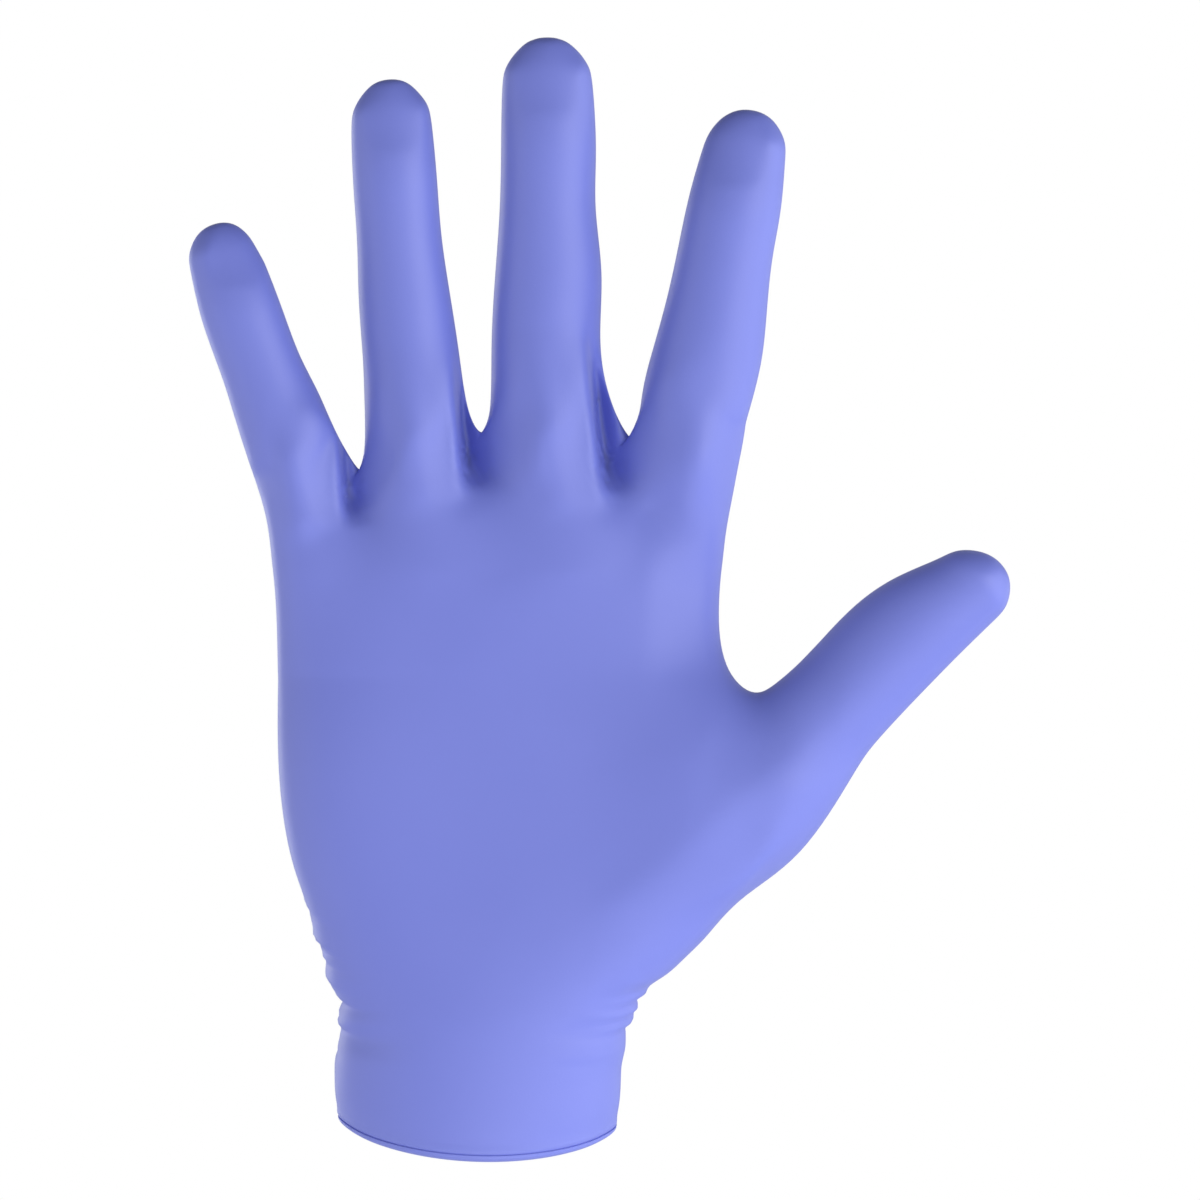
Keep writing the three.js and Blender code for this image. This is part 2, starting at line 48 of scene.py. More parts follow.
# Cuff. The crumples are measured along its axis, which leans forward from the mouth. The mouth
# drops towards the thumb side by its slant.
CUFF_LEAN = math.radians(16)
MOUTH_SLANT = math.tan(math.radians(2))

# Bead, in millimetres. BEAD_RISE is how far down from its top the roll stands out fully,
# BEAD_UNDERSIDE where its underside begins, and BLEND_REACH how far it blends up and down.
BEAD_RISE = 0.6
BEAD_UNDERSIDE = 0.95
BLEND_REACH = 2.0
BEAD_NOISE_SCALE = 55.0
BEAD_NOISE_DETAIL = 1.0

# What the folds are set to. What concerns the bead is in millimetres.
FOLD_SETTINGS = {
    "Cuff lean": CUFF_LEAN,
    "Crumple depth": 1.0,
    "Crease depth": 1.0,
    "Recess depth": 1.0,
    "Flank depth": 1.0,
    "Tip rounding": 1.0,
    "Bead top": 1.15,
    "Bead unevenness": 0.3,
    "Bead blend": 0.2,
    "Bead sink": 0.75,
    "Bead turn in": 0.45,
    "Seed": 3.0,
}

# Crumples at the wrist, one row each: a lip that stands out over a groove. at and reach are
# degrees round the cuff, from the thumb side towards the palm, and rise is how much higher the
# fold stands at the end of its reach. up, rise, breadth and deep are millimetres, along the
# cuff's axis or across the film.
CRUMPLES = [
    {"at": 178, "reach": 26, "up": 46.0, "rise": 2.0, "breadth": 1.2, "deep": 0.22},
    {"at": 180, "reach": 34, "up": 39.6, "rise": 2.5, "breadth": 1.0, "deep": 0.42},
    {"at": 176, "reach": 28, "up": 36.0, "rise": -1.0, "breadth": 0.9, "deep": 0.34},
    {"at": 184, "reach": 24, "up": 31.6, "rise": 1.2, "breadth": 0.9, "deep": 0.22},
    {"at": 177, "reach": 38, "up": 27.6, "rise": -2.4, "breadth": 1.0, "deep": 0.42},
    {"at": 190, "reach": 30, "up": 24.6, "rise": 1.5, "breadth": 0.9, "deep": 0.20},
    {"at": 182, "reach": 26, "up": 21.4, "rise": -1.6, "breadth": 1.0, "deep": 0.34},
    {"at": 186, "reach": 24, "up": 17.0, "rise": 1.2, "breadth": 1.1, "deep": 0.16},
    {"at": 2, "reach": 36, "up": 28.2, "rise": 2.2, "breadth": 1.0, "deep": 0.60},
    {"at": 4, "reach": 30, "up": 25.2, "rise": 1.4, "breadth": 0.9, "deep": 0.32},
    {"at": 6, "reach": 40, "up": 22.3, "rise": 2.6, "breadth": 1.0, "deep": 0.42},
    {"at": 34, "reach": 40, "up": 18.4, "rise": 2.8, "breadth": 1.1, "deep": 0.14},
    {"at": 262, "reach": 60, "up": 24.0, "rise": 3.0, "breadth": 1.4, "deep": 0.30},
    {"at": 285, "reach": 55, "up": 30.0, "rise": -3.0, "breadth": 1.4, "deep": 0.26},
    {"at": 240, "reach": 45, "up": 35.0, "rise": 2.0, "breadth": 1.3, "deep": 0.22},
]

# Creases on the palm side, one row each: ends as (x, z), breadth and deep in millimetres
CREASES = [
    {"start": (3.5, 166.5), "end": (24.0, 165.0), "breadth": 1.5, "deep": 0.14},
    {"start": (-38.0, 124.5), "end": (-28.5, 122.5), "breadth": 1.8, "deep": 0.20},
    {"start": (-0.8, 135.0), "end": (-4.6, 125.5), "breadth": 1.7, "deep": 0.28},
    {"start": (29.5, 134.0), "end": (25.0, 124.0), "breadth": 2.2, "deep": 0.22},
]

# Recesses of the webs on the palm side, one row each. edge is the (x, z) where the left finger's
# side drops off steeply, lean how far that edge moves aside for each millimetre up. side is how
# far out of the palm the finger's side reaches at the edge, and curve how it rounds on to the
# left. floor is how deep the recess starts at the edge, and rise how it comes forward to the
# right. Both fade in above side_from and floor_from, and out below top. Millimetres.
RECESSES = [
    {"edge": (-27.7, 131.0), "lean": -0.07, "side": -16.9, "curve": 0.050,
     "floor": -8.0, "rise": 1.35, "side_from": 120.0, "floor_from": 124.5, "top": 152.0},
    {"edge": (-3.3, 141.0), "lean": -0.09, "side": -18.3, "curve": 0.045,
     "floor": -4.2, "rise": 1.5, "side_from": 126.0, "floor_from": 132.5, "top": 164.0},
    {"edge": (25.4, 141.0), "lean": -0.11, "side": -18.3, "curve": 0.040,
     "floor": -3.8, "rise": 1.45, "side_from": 125.0, "floor_from": 131.5, "top": 168.0},
]

# What the recesses share, in millimetres: how far one reaches to each side of its edge, how
# softly the edge steps, how softly the moved film joins the rest, and how long the fades are
RECESS_REACH = 15.0
EDGE_BREADTH = 0.6
SMOOTH_JOIN = 1.6
SIDE_FADE = 7.0
FLOOR_FADE = 8.5
TOP_FADE = 16.0

# Flanks on the palm side that fall away to the right of a crest, one row each: the crest's ends
# as (x, z), from the lower one, then breadth and deep in millimetres
FLANKS = [
    {"start": (12.0, 36.0), "end": (86.0, 96.0), "breadth": 9.0, "deep": 3.2},
    {"start": (33.0, 82.0), "end": (36.0, 152.0), "breadth": 8.0, "deep": 2.2},
]

# Fingertips that round off gradually towards the back, one row each: the end as (x, z), then
# reach and deep in millimetres
TIPS = [
    {"end": (-53.0, 189.0), "reach": 22.0, "deep": 3.4},
    {"end": (-18.4, 218.5), "reach": 24.0, "deep": 3.4},
    {"end": (14.4, 227.3), "reach": 26.0, "deep": 3.4},
    {"end": (55.8, 212.0), "reach": 25.0, "deep": 3.4},
]

# Places on the palm, at the roots of the fingers and below their tips that are evened out, one
# row each: the middle and the reach to each side as (x, z) in millimetres
EVEN_PLACES = [
    {"middle": (28.0, 94.0), "reach": (30.0, 17.0)},
    {"middle": (61.0, 85.0), "reach": (15.0, 15.0)},
    {"middle": (-35.5, 128.0), "reach": (8.5, 13.0)},
    {"middle": (-9.5, 134.0), "reach": (6.5, 11.0)},
    {"middle": (19.0, 134.0), "reach": (7.0, 12.0)},
    {"middle": (8.0, 125.0), "reach": (30.0, 10.0)},
    {"middle": (-50.3, 181.5), "reach": (6.0, 7.0)},
    {"middle": (-17.9, 210.0), "reach": (7.0, 7.5)},
    {"middle": (14.2, 218.0), "reach": (7.5, 8.0)},
    {"middle": (54.0, 203.0), "reach": (7.0, 7.5)},
]
EVEN_PASSES = 45

# How far out of the palm the film begins to count as palm side, and where it counts fully, for
# the sides of the recesses and for the flanks and fingertips, in millimetres
SIDE_PALM = (6.5, 9.5)
FLANK_PALM = (0.0, 14.0)

# Nitrile: soft patches from one colour and roughness to the other, over a fine grain
DEEP_BLUE = (0.169, 0.206, 0.675, 1.0)
PALE_BLUE = (0.192, 0.229, 0.705, 1.0)
DEEP_ROUGHNESS = 0.52
PALE_ROUGHNESS = 0.42
PATCH_SCALE = 26.0
GRAIN_SCALE = 1900.0
NOISE_DETAIL = 2.0
GRAIN_STRENGTH = 0.12
GRAIN_HEIGHT = 0.0001
NITRILE_IOR = 1.5
SHEEN_WEIGHT = 0.12
SHEEN_ROUGHNESS = 0.35
SHEEN_TINT = (0.85, 0.88, 1.0, 1.0)

# Picture: the frame's middle and breadth at the glove, and the camera's distance
PICTURE_MIDDLE = Vector((0.0255, -0.0095, 0.1097))
PICTURE_BREADTH = 0.25068
CAMERA_DISTANCE = 2.0
SENSOR = 36.0

# Floor far below the glove, and a dark card above the glove, in metres
FLOOR_HEIGHT = -0.80
FLOOR_RADIUS = 2.5
FLOOR_SIDES = 96
FLOOR_COLOUR = (0.86, 0.86, 0.87, 1.0)
FLOOR_ROUGHNESS = 0.9
FLAG_HEIGHT = 0.55
FLAG_SIZE = 0.8
FLAG_COLOUR = (0.02, 0.02, 0.02, 1.0)
FLAG_ROUGHNESS = 0.5

# Soft boxes round the glove: power in watts, place and size in metres
LIGHTS = [
    {"name": "soft_key", "place": (1.0, -1.1, 0.25), "power": 6.4, "size": 0.8},
    {"name": "low_fill", "place": (0.1, -0.5, -0.65), "power": 2.6, "size": 0.9},
    {"name": "right_wall", "place": (2.0, -0.4, -0.2), "power": 33.0, "size": 2.4},
    {"name": "left_wall", "place": (-2.0, -0.4, 0.0), "power": 15.0, "size": 2.4},
    {"name": "front_wall", "place": (0.0, -2.3, -0.2), "power": 8.8, "size": 2.4},
    {"name": "rim_left", "place": (-0.9, 1.0, 0.1), "power": 3.6, "size": 0.7},
    {"name": "rim_right", "place": (1.1, 1.0, -0.05), "power": 1.0, "size": 0.6},
]

# The room's light, all round
AMBIENT = 0.40
WHITE = (1.0, 1.0, 1.0, 1.0)


# Node trees


def link(tree, source, target):
    tree.links.new(source, target)


def feed(tree, given, socket):
    """Give a socket what feeds it: another socket, or a plain value."""
    if isinstance(given, bpy.types.NodeSocket):
        link(tree, given, socket)
    else:
        socket.default_value = given


def value_node(tree, operation, *inputs, clamp=False):
    """A Math node fed with sockets or plain numbers. Gives its output."""
    node = tree.nodes.new("ShaderNodeMath")
    node.operation = operation
    node.use_clamp = clamp
    for socket, given in zip(node.inputs, inputs):
        feed(tree, given, socket)
    return node.outputs[0]


def product(tree, first, *others):
    """Sockets or plain numbers, multiplied one after the other."""
    for other in others:
        first = value_node(tree, "MULTIPLY", first, other)
    return first


def difference(tree, first, *others):
    """The first socket or number, less each of the others."""
    for other in others:
        first = value_node(tree, "SUBTRACT", first, other)
    return first


def vector_node(tree, operation, *inputs):
    """A Vector Math node fed with sockets or plain vectors. Gives its outputs."""
    node = tree.nodes.new("ShaderNodeVectorMath")
    node.operation = operation
    sockets = [socket for socket in node.inputs if socket.enabled]
    for socket, given in zip(sockets, inputs):
        feed(tree, given, socket)
    return node.outputs


def scaled(tree, vector, factor):
    """The vector times a socket or plain number."""
    return vector_node(tree, "SCALE", vector, factor)[0]


def taken_apart(tree, vector):
    """The vector's x, y and z."""
    node = tree.nodes.new("ShaderNodeSeparateXYZ")
    link(tree, vector, node.inputs[0])
    return node.outputs


def put_together(tree, *parts):
    """The vector of an x, a y and a z, each a socket or a plain number."""
    node = tree.nodes.new("ShaderNodeCombineXYZ")
    for socket, part in zip(node.inputs, parts):
        feed(tree, part, socket)
    return node.outputs[0]


def noise_node(tree, vector, scale, detail):
    noise = tree.nodes.new("ShaderNodeTexNoise")
    link(tree, vector, noise.inputs["Vector"])
    noise.inputs["Scale"].default_value = scale
    noise.inputs["Detail"].default_value = detail
    return noise


def add_socket(tree, name, kind="NodeSocketFloat", in_out="INPUT"):
    tree.interface.new_socket(name=name, in_out=in_out, socket_type=kind)


def depth_group(name, vectors, numbers):
    """A new group that works out a depth in millimetres. Gives the group, the sockets of its
    inputs and the one that its depth goes to."""
    tree = bpy.data.node_groups.new(name, "GeometryNodeTree")
    for vector in vectors:
        add_socket(tree, vector, "NodeSocketVector")
    for number in numbers:
        add_socket(tree, number)
    add_socket(tree, "Depth", in_out="OUTPUT")
    given = tree.nodes.new("NodeGroupInput").outputs
    result = tree.nodes.new("NodeGroupOutput").inputs
    return tree, given, result["Depth"]


def on_palm(place):
    """An (x, z) as a vector."""
    return (place[0], 0.0, place[1])


def summed_groups(tree, group, shared, rows):
    """One copy of the group for each row, added up. shared holds the sockets that feed every
    copy, by name. A pair of numbers in a row is an (x, z)."""
    total = 0.0
    for row in rows:
        copy = tree.nodes.new("GeometryNodeGroup")
        copy.node_tree = group
        for name, source in shared.items():
            link(tree, source, copy.inputs[name])
        for name, value in row.items():
            if isinstance(value, tuple):
                value = on_palm(value)
            copy.inputs[name.replace("_", " ").capitalize()].default_value = value
        total = value_node(tree, "ADD", total, copy.outputs[0])
    return total


# Profiles of the folds


def soft_bump(tree, away, reach):
    """1 where away is 0, falling to 0 at reach, as the square of a cosine."""
    share = value_node(tree, "DIVIDE", value_node(tree, "ABSOLUTE", away), reach)
    angle = product(tree, value_node(tree, "MINIMUM", share, 1.0), math.pi / 2)
    return value_node(tree, "POWER", value_node(tree, "COSINE", angle), 2.0)


def groove(tree, off, breadth):
    """A bell-shaped groove, 1 deep, for a distance off its line."""
    share = value_node(tree, "DIVIDE", off, breadth)
    return value_node(tree, "EXPONENT", product(tree, share, share, -1.0))


def lip(tree, off, breadth):
    """An S across a line: out by 1 on its near side, in by 1 on its far side, and 0 elsewhere."""
    share = value_node(tree, "DIVIDE", off, breadth)
    return product(tree, share, math.sqrt(2 * math.e), groove(tree, off, breadth))


def faded_in(tree, value, start, breadth):
    """0 below start, 1 from breadth above it."""
    fade = tree.nodes.new("ShaderNodeMapRange")
    fade.interpolation_type = "SMOOTHSTEP"
    link(tree, value, fade.inputs["Value"])
    feed(tree, start, fade.inputs["From Min"])
    link(tree, value_node(tree, "ADD", start, breadth), fade.inputs["From Max"])
    return fade.outputs[0]


def palm_share(tree, y, span):
    """0 on the back of the film, 1 on its palm side. span is how far out of the palm it grows."""
    return faded_in(tree, product(tree, y, -1.0), span[0], span[1] - span[0])


def along_line(tree, given):
    """How a group's Position lies to its line from Start to End. Gives the line's run, the way
    from its start, the share of the run passed, and a bump that fades at both of its ends."""
    run = vector_node(tree, "SUBTRACT", given["End"], given["Start"])[0]
    from_start = vector_node(tree, "SUBTRACT", given["Position"], given["Start"])[0]
    passed = vector_node(tree, "DOT_PRODUCT", from_start, run)["Value"]
    run_square = vector_node(tree, "DOT_PRODUCT", run, run)["Value"]
    share = value_node(tree, "DIVIDE", passed, run_square)
    fading = soft_bump(tree, difference(tree, share, 0.5), 0.5)
    return run, from_start, share, fading


# Crumples, creases, recesses, flanks and fingertips


def wrist_crumple():
    """One fold that runs part of the way round the cuff. Gives how deep it presses in."""
    numbers = ("Turn", "Height", "At", "Reach", "Up", "Rise", "Breadth", "Deep")
    tree, given, result = depth_group("wrist_crumple", (), numbers)
    turned = difference(tree, given["Turn"], given["At"])
    away = value_node(tree, "WRAP", turned, HALF_TURN, -HALF_TURN)
    along = value_node(tree, "DIVIDE", away, given["Reach"])
    line = value_node(tree, "MULTIPLY_ADD", given["Rise"], along, given["Up"])
    across = lip(tree, difference(tree, line, given["Height"]), given["Breadth"])
    fading = soft_bump(tree, away, given["Reach"])
    link(tree, product(tree, across, fading, given["Deep"]), result)
    return tree


def palm_crease():
    """One crease along a straight line on the palm side. Gives how deep it presses in."""
    tree, given, result = depth_group(
        "palm_crease", ("Position", "Start", "End"), ("Breadth", "Deep"))
    run, from_start, share, fading = along_line(tree, given)
    from_foot = vector_node(tree, "SUBTRACT", from_start, scaled(tree, run, share))[0]
    off = vector_node(tree, "LENGTH", from_foot)["Value"]
    across = groove(tree, off, given["Breadth"])
    link(tree, product(tree, across, fading, given["Deep"]), result)
    return tree


def web_recess():
    """One web's recess: a finger's side that drops off steeply, then a rise to the next finger.
    Gives how far the film moves towards the glove's back."""
    numbers = ("Lean", "Side", "Curve", "Floor", "Rise", "Side from", "Floor from", "Top")
    tree, given, result = depth_group("web_recess", ("Position", "Edge"), numbers)
    x, y, z = taken_apart(tree, given["Position"])
    edge_x, _, edge_z = taken_apart(tree, given["Edge"])
    raised = difference(tree, z, edge_z)
    aside = difference(tree, x, value_node(tree, "MULTIPLY_ADD", raised, given["Lean"], edge_x))

    # Left of the edge the film comes forward to the finger's side
    rounding = product(tree, aside, aside, given["Curve"])
    side_off = difference(tree, given["Side"], rounding, y)
    pulled = value_node(tree, "SMOOTH_MIN", side_off, 0.0, SMOOTH_JOIN)
    side_part = product(
        tree, pulled, palm_share(tree, y, SIDE_PALM),
        faded_in(tree, z, given["Side from"], SIDE_FADE))

    # Right of the edge it goes back to the recess's floor
    floor_off = difference(tree, given["Floor"], product(tree, aside, given["Rise"]), y)
    pushed = value_node(tree, "SMOOTH_MAX", floor_off, 0.0, SMOOTH_JOIN)
    floor_part = product(tree, pushed, faded_in(tree, z, given["Floor from"], FLOOR_FADE))

    step = value_node(tree, "TANH", value_node(tree, "DIVIDE", aside, EDGE_BREADTH))
    on_right = value_node(tree, "MULTIPLY_ADD", step, 0.5, 0.5)
    on_left = difference(tree, 1.0, on_right)
    move = value_node(
        tree, "ADD", product(tree, side_part, on_left), product(tree, floor_part, on_right))
    fade_start = difference(tree, given["Top"], TOP_FADE)
    below_top = difference(tree, 1.0, faded_in(tree, z, fade_start, TOP_FADE))
    near = soft_bump(tree, aside, RECESS_REACH)
    link(tree, product(tree, move, below_top, near), result)
    return tree


def palm_flank():
    """A flank that falls away to the right of a crest. Gives how deep it presses in."""
    tree, given, result = depth_group(
        "palm_flank", ("Position", "Start", "End"), ("Breadth", "Deep"))
    run, from_start, _, fading = along_line(tree, given)
    length = vector_node(tree, "LENGTH", run)["Value"]
    turned = taken_apart(tree, vector_node(tree, "CROSS_PRODUCT", run, from_start)[0])["Y"]
    right = value_node(tree, "MAXIMUM", value_node(tree, "DIVIDE", turned, length), 0.0)
    fall = difference(tree, 1.0, groove(tree, right, given["Breadth"]))
    link(tree, product(tree, fall, fading, given["Deep"]), result)
    return tree


def tip_rounding(tree, position):
    """How far the fingertips give way towards the back."""
    total = 0.0
    for row in TIPS:
        from_end = vector_node(tree, "SUBTRACT", position, on_palm(row["end"]))[0]
        away = vector_node(tree, "LENGTH", from_end)["Value"]
        near = soft_bump(tree, away, row["reach"])
        total = value_node(tree, "MULTIPLY_ADD", near, row["deep"], total)
    return total


# The film's finer shape


def cuff_places(tree, position, lean):
    """Where a point of the film lies round the cuff's leaning axis: how far across towards the
    thumb side and how high along the axis, in millimetres, the turn in degrees from the thumb
    side towards the palm, and the way out."""
    turn_back = tree.nodes.new("ShaderNodeVectorRotate")
    turn_back.rotation_type = "X_AXIS"
    turn_back.invert = True
    link(tree, position, turn_back.inputs["Vector"])
    link(tree, lean, turn_back.inputs["Angle"])
    x, y, z = taken_apart(tree, turn_back.outputs[0])
    across = product(tree, x, TO_MILLIMETRES)
    height = product(tree, z, TO_MILLIMETRES)
    angle = value_node(tree, "ARCTAN2", product(tree, y, -1.0), x)
    outward = vector_node(tree, "NORMALIZE", put_together(tree, x, y, 0.0))[0]
    return across, height, value_node(tree, "DEGREES", angle), outward


def bead_roll(tree, given, position, across, height):
    """How far the bead's roll moves out, in metres. It is a little uneven, sinks in below its
    top, turns in at its underside, and blends softly into the film above it."""
    noise = noise_node(tree, position, BEAD_NOISE_SCALE, BEAD_NOISE_DETAIL)
    noise.noise_dimensions = "4D"
    link(tree, given["Seed"], noise.inputs["W"])
    uneven = difference(tree, noise.outputs[0], 0.5)
    over_mouth = value_node(tree, "MULTIPLY_ADD", across, MOUTH_SLANT, height)
    over_bead = difference(tree, over_mouth, given["Bead top"])
    under_top = product(tree, over_bead, -1.0)
    on_bead = faded_in(tree, under_top, 0.0, BEAD_RISE)
    on_underside = value_node(tree, "SUBTRACT", under_top, BEAD_UNDERSIDE, clamp=True)

    unevenness = product(tree, uneven, on_bead, given["Bead unevenness"])
    blend = product(tree, soft_bump(tree, over_bead, BLEND_REACH), given["Bead blend"])
    sink = product(tree, on_bead, given["Bead sink"])
    turn_in = product(tree, on_underside, given["Bead turn in"])
    evening = difference(tree, blend, sink, turn_in)
    return product(tree, value_node(tree, "ADD", unevenness, evening), TO_METRES)


def backward_move(tree, given, position, facing, flat_position):
    """How far the recesses, flanks and fingertips move towards the back, in metres. Both skins
    of the film move alike: in a recess, a point of the inner skin goes by the outer one's place."""
    x, y, z = taken_apart(tree, scaled(tree, position, TO_MILLIMETRES))
    inside = value_node(tree, "MULTIPLY_ADD", facing, -WALL / 2, -WALL / 2)
    outer_place = put_together(tree, x, value_node(tree, "ADD", y, inside), z)
    recesses = summed_groups(tree, web_recess(), {"Position": outer_place}, RECESSES)
    flanks = summed_groups(tree, palm_flank(), {"Position": flat_position}, FLANKS)
    recessing = product(tree, recesses, given["Recess depth"])
    falling = product(tree, flanks, given["Flank depth"])
    rounding = product(tree, tip_rounding(tree, flat_position), given["Tip rounding"])
    fallen = product(
        tree, value_node(tree, "ADD", falling, rounding), palm_share(tree, y, FLANK_PALM))
    return product(tree, value_node(tree, "ADD", recessing, fallen), TO_METRES)


def evened(tree, film, position, flat_position):
    """The film with the even places blurred smooth."""
    x, _, z = taken_apart(tree, flat_position)
    weight = 0.0
    for row in EVEN_PLACES:
        across = soft_bump(tree, difference(tree, x, row["middle"][0]), row["reach"][0])
        up = soft_bump(tree, difference(tree, z, row["middle"][1]), row["reach"][1])
        weight = value_node(tree, "MAXIMUM", weight, product(tree, across, up))
    blur = tree.nodes.new("GeometryNodeBlurAttribute")
    blur.data_type = "FLOAT_VECTOR"
    blurred = [socket for socket in blur.inputs if socket.enabled and socket.name == "Value"][0]
    link(tree, position, blurred)
    blur.inputs["Iterations"].default_value = EVEN_PASSES
    link(tree, weight, blur.inputs["Weight"])
    shift = tree.nodes.new("GeometryNodeSetPosition")
    link(tree, film, shift.inputs["Geometry"])
    link(tree, [socket for socket in blur.outputs if socket.enabled][0], shift.inputs["Position"])
    return shift.outputs[0]


def folded_film_tree(film_material):
    """The film with its even places, crumples, bead, creases, recesses, flanks and fingertips."""
    tree = bpy.data.node_groups.new("folded_film", "GeometryNodeTree")
    add_socket(tree, "Film", "NodeSocketGeometry")
    for name in FOLD_SETTINGS:
        add_socket(tree, name)
    add_socket(tree, "Film", "NodeSocketGeometry", in_out="OUTPUT")
    given = tree.nodes.new("NodeGroupInput").outputs
    result = tree.nodes.new("NodeGroupOutput").inputs

    position = tree.nodes.new("GeometryNodeInputPosition").outputs[0]
    normal = tree.nodes.new("GeometryNodeInputNormal").outputs[0]
    facing = taken_apart(tree, normal)["Y"]
    flattening = (TO_MILLIMETRES, 0.0, TO_MILLIMETRES)
    flat_position = vector_node(tree, "MULTIPLY", position, flattening)[0]
    across, height, turn, outward = cuff_places(tree, position, given["Cuff lean"])

    # Crumples and the bead's roll move both skins of the film to or from the cuff's axis
    crumpling = summed_groups(tree, wrist_crumple(), {"Turn": turn, "Height": height}, CRUMPLES)
    inward = product(tree, crumpling, given["Crumple depth"], -TO_METRES)
    rolled = bead_roll(tree, given, position, across, height)
    cuff_move = scaled(tree, outward, value_node(tree, "ADD", inward, rolled))

    # Creases press in across the film, on the palm side alone
    creasing = summed_groups(tree, palm_crease(), {"Position": flat_position}, CREASES)
    to_palm = value_node(tree, "MULTIPLY", facing, -1.0, clamp=True)
    pressed = product(tree, creasing, to_palm, given["Crease depth"], -TO_METRES)
    crease_move = scaled(tree, normal, pressed)

    # Recesses, flanks and fingertips move straight forward or back
    backward = backward_move(tree, given, position, facing, flat_position)
    folds = vector_node(tree, "ADD", cuff_move, crease_move)[0]
    move = vector_node(tree, "ADD", folds, put_together(tree, 0.0, backward, 0.0))[0]

    shift = tree.nodes.new("GeometryNodeSetPosition")
    link(tree, evened(tree, given["Film"], position, flat_position), shift.inputs["Geometry"])
    link(tree, move, shift.inputs["Offset"])
    realize = tree.nodes.new("GeometryNodeRealizeInstances")
    link(tree, shift.outputs[0], realize.inputs[0])
    finish = tree.nodes.new("GeometryNodeSetMaterial")
    finish.inputs["Material"].default_value = film_material
    link(tree, realize.outputs[0], finish.inputs["Geometry"])
    link(tree, finish.outputs[0], result["Film"])
    return tree


# The film


def four_sided_film(node):
    """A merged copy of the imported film, with its triangles paired into four-sided faces."""
    shape = bmesh.new()
    shape.from_mesh(node.data)
    bmesh.ops.remove_doubles(shape, verts=shape.verts, dist=MERGE_DISTANCE)
    bmesh.ops.join_triangles(
        shape, faces=shape.faces, angle_face_threshold=math.pi, angle_shape_threshold=math.pi)
    for face in shape.faces:
        face.smooth = True
    mesh = bpy.data.meshes.new("dipped_film")
    shape.to_mesh(mesh)
    shape.free()
    film = bpy.data.objects.new("dipped_film", mesh)
    bpy.context.scene.collection.objects.link(film)
    return film


def evaluated_copy(piece):
    """The piece's mesh as its modifiers leave it."""
    depsgraph = bpy.context.evaluated_depsgraph_get()
    return bpy.data.meshes.new_from_object(piece.evaluated_get(depsgraph), depsgraph=depsgraph)


def smooth_film(film):
    """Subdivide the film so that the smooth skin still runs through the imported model's points:
    each pass moves a point by what the smooth skin misses its place by."""
    places = [vertex.co.copy() for vertex in film.data.vertices]
    smoothing = film.modifiers.new("smooth_skin", "SUBSURF")
    smoothing.levels = smoothing.render_levels = 1
    for _ in range(FIT_PASSES):
        skin = evaluated_copy(film)
        for place, vertex, reached in zip(places, film.data.vertices, skin.vertices):
            vertex.co += place - reached.co
        bpy.data.meshes.remove(skin)
        film.data.update()
    smoothing.levels = smoothing.render_levels = SMOOTH_LEVELS


def fold_film(film, film_material):
    """Work the finer shape in, and keep the result as a plain mesh."""
    tree = folded_film_tree(film_material)
    folding = film.modifiers.new("folds", "NODES")
    folding.node_group = tree
    for item in tree.interface.items_tree:
        if item.in_out == "INPUT" and item.name in FOLD_SETTINGS:
            folding[item.identifier] = FOLD_SETTINGS[item.name]
    folded = evaluated_copy(film)
    film.modifiers.clear()
    film.data = folded


def make_film(node, film_material):
    film = four_sided_film(node)
    smooth_film(film)
    fold_film(film, film_material)
    return film


# Materials


def nitrile_material():
    """Periwinkle nitrile: a satin film, a little paler and smoother in soft patches."""
    material = bpy.data.materials.new("nitrile_film")
    material.use_nodes = True
    tree = material.node_tree
    shader = tree.nodes["Principled BSDF"]
    shader.inputs["IOR"].default_value = NITRILE_IOR
    shader.inputs["Sheen Weight"].default_value = SHEEN_WEIGHT
    shader.inputs["Sheen Roughness"].default_value = SHEEN_ROUGHNESS
    shader.inputs["Sheen Tint"].default_value = SHEEN_TINT
    place = tree.nodes.new("ShaderNodeTexCoord").outputs["Object"]
    patches = noise_node(tree, place, PATCH_SCALE, NOISE_DETAIL).outputs[0]
    grain = noise_node(tree, place, GRAIN_SCALE, NOISE_DETAIL).outputs[0]

    colour = tree.nodes.new("ShaderNodeMix")
    colour.data_type = "RGBA"
    colour.inputs["A"].default_value = DEEP_BLUE
    colour.inputs["B"].default_value = PALE_BLUE
    link(tree, patches, colour.inputs["Factor"])
    link(tree, colour.outputs["Result"], shader.inputs["Base Color"])

    gloss = tree.nodes.new("ShaderNodeMapRange")
    link(tree, patches, gloss.inputs["Value"])
    gloss.inputs["To Min"].default_value = DEEP_ROUGHNESS
    gloss.inputs["To Max"].default_value = PALE_ROUGHNESS
    link(tree, gloss.outputs[0], shader.inputs["Roughness"])

    fine = tree.nodes.new("ShaderNodeBump")
    fine.inputs["Strength"].default_value = GRAIN_STRENGTH
    fine.inputs["Distance"].default_value = GRAIN_HEIGHT
    link(tree, grain, fine.inputs["Height"])
    link(tree, fine.outputs[0], shader.inputs["Normal"])
    return material


def plain_material(name, colour, roughness):
    material = bpy.data.materials.new(name)
    material.use_nodes = True
    shader = material.node_tree.nodes["Principled BSDF"]
    shader.inputs["Base Color"].default_value = colour
    shader.inputs["Roughness"].default_value = roughness
    return material


# Studio


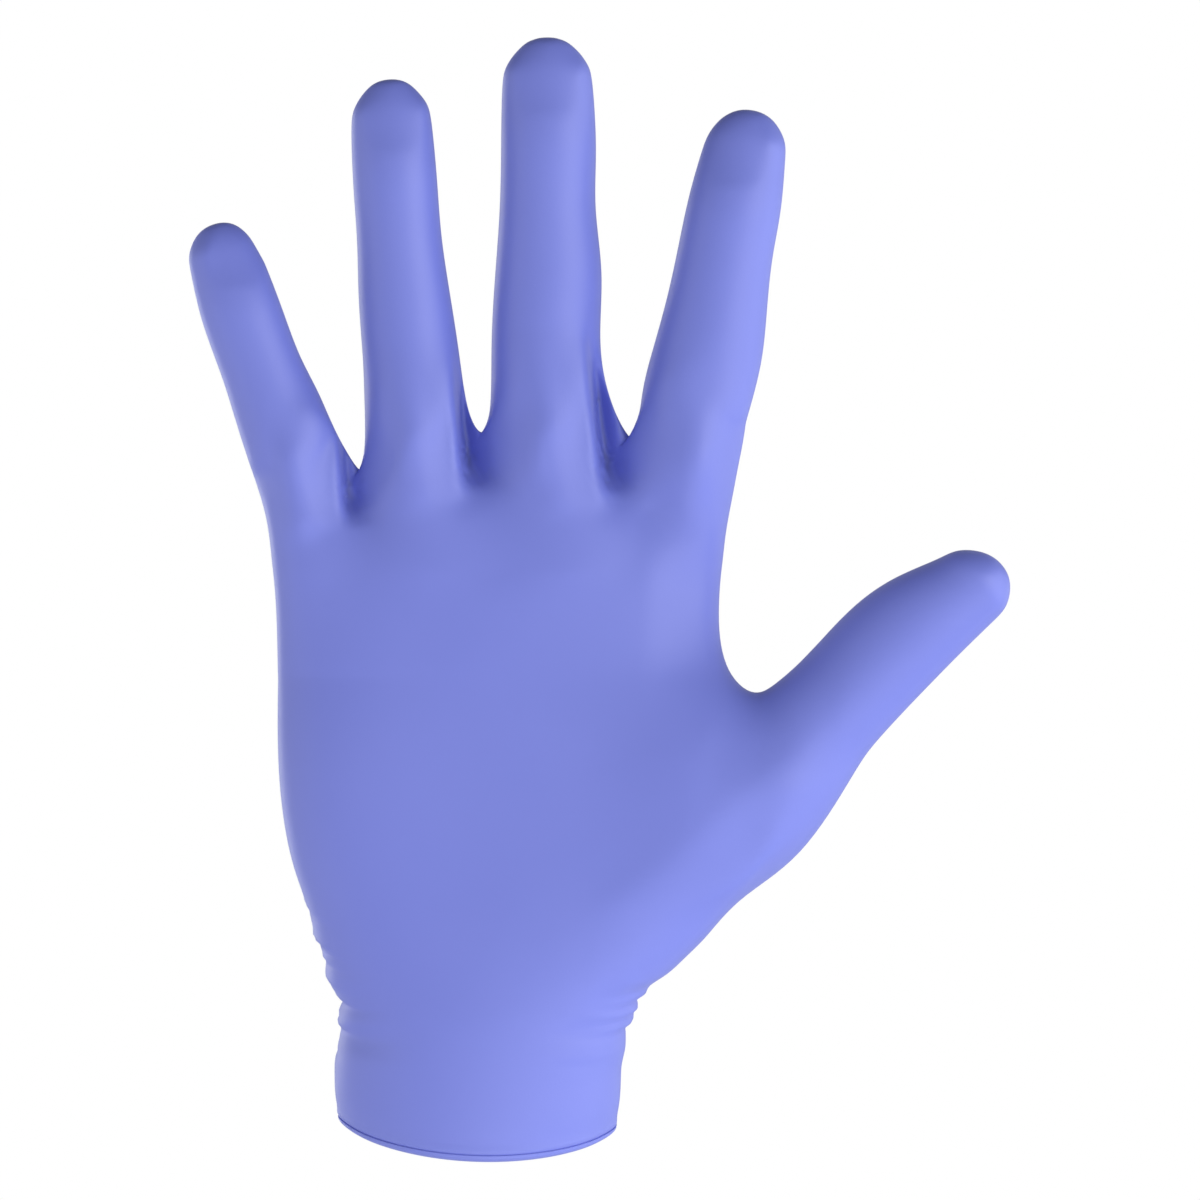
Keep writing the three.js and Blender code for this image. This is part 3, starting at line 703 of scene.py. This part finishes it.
def level_sheet(name, shape, height, material):
    """A flat piece of the studio, from its outline, at a height."""
    mesh = bpy.data.meshes.new(name)
    shape.to_mesh(mesh)
    shape.free()
    mesh.transform(Matrix.Translation((0.0, 0.0, height)))
    mesh.materials.append(material)
    sheet = bpy.data.objects.new(name, mesh)
    bpy.context.scene.collection.objects.link(sheet)
    return sheet


def make_floor():
    shape = bmesh.new()
    bmesh.ops.create_circle(shape, cap_ends=True, radius=FLOOR_RADIUS, segments=FLOOR_SIDES)
    pale_floor = plain_material("pale_floor", FLOOR_COLOUR, FLOOR_ROUGHNESS)
    floor = level_sheet("floor", shape, FLOOR_HEIGHT, pale_floor)


def make_flag():
    """A dark card over the glove, out of the picture, that keeps light from above off the tips."""
    shape = bmesh.new()
    bmesh.ops.create_grid(shape, x_segments=1, y_segments=1, size=FLAG_SIZE / 2)
    dark_card = plain_material("dark_card", FLAG_COLOUR, FLAG_ROUGHNESS)
    flag = level_sheet("flag", shape, FLAG_HEIGHT, dark_card)
    flag.visible_camera = False


def aim(thing, place, target):
    thing.location = place
    thing.rotation_euler = (target - Vector(place)).to_track_quat("-Z", "Y").to_euler()


def make_light(name, place, power, size):
    lamp = bpy.data.lights.new(name, "AREA")
    lamp.energy = power
    lamp.size = size
    light = bpy.data.objects.new(name, lamp)
    bpy.context.scene.collection.objects.link(light)
    light.visible_camera = False
    aim(light, place, PICTURE_MIDDLE)


def make_world():
    """White behind the glove, and a softer white that lights it."""
    world = bpy.data.worlds.new("studio")
    bpy.context.scene.world = world
    world.use_nodes = True
    tree = world.node_tree
    lighting = tree.nodes["Background"]
    lighting.inputs["Color"].default_value = WHITE
    lighting.inputs["Strength"].default_value = AMBIENT
    backdrop = tree.nodes.new("ShaderNodeBackground")
    backdrop.inputs["Color"].default_value = WHITE
    chooser = tree.nodes.new("ShaderNodeMixShader")
    link(tree, tree.nodes.new("ShaderNodeLightPath").outputs["Is Camera Ray"], chooser.inputs[0])
    link(tree, lighting.outputs[0], chooser.inputs[1])
    link(tree, backdrop.outputs[0], chooser.inputs[2])
    link(tree, chooser.outputs[0], tree.nodes["World Output"].inputs["Surface"])


def make_studio():
    make_floor()
    make_flag()
    make_world()
    for row in LIGHTS:
        make_light(**row)
    bpy.context.scene.view_settings.view_transform = "Standard"


def make_camera():
    lens = bpy.data.cameras.new("camera")
    lens.sensor_width = SENSOR
    lens.lens = SENSOR * CAMERA_DISTANCE / PICTURE_BREADTH
    camera = bpy.data.objects.new("camera", lens)
    bpy.context.scene.collection.objects.link(camera)
    aim(camera, PICTURE_MIDDLE - Vector((0.0, CAMERA_DISTANCE, 0.0)), PICTURE_MIDDLE)
    bpy.context.scene.camera = camera


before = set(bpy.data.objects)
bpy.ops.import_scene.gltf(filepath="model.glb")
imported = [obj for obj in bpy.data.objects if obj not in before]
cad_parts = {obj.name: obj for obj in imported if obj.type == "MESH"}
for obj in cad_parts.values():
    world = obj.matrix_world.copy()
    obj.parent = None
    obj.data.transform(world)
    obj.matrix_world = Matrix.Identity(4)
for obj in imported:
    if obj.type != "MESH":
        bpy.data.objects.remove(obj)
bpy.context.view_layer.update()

make_camera()
make_studio()

film = make_film(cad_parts["nitrile_glove"], nitrile_material())
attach(film, "root")
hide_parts("nitrile_glove")
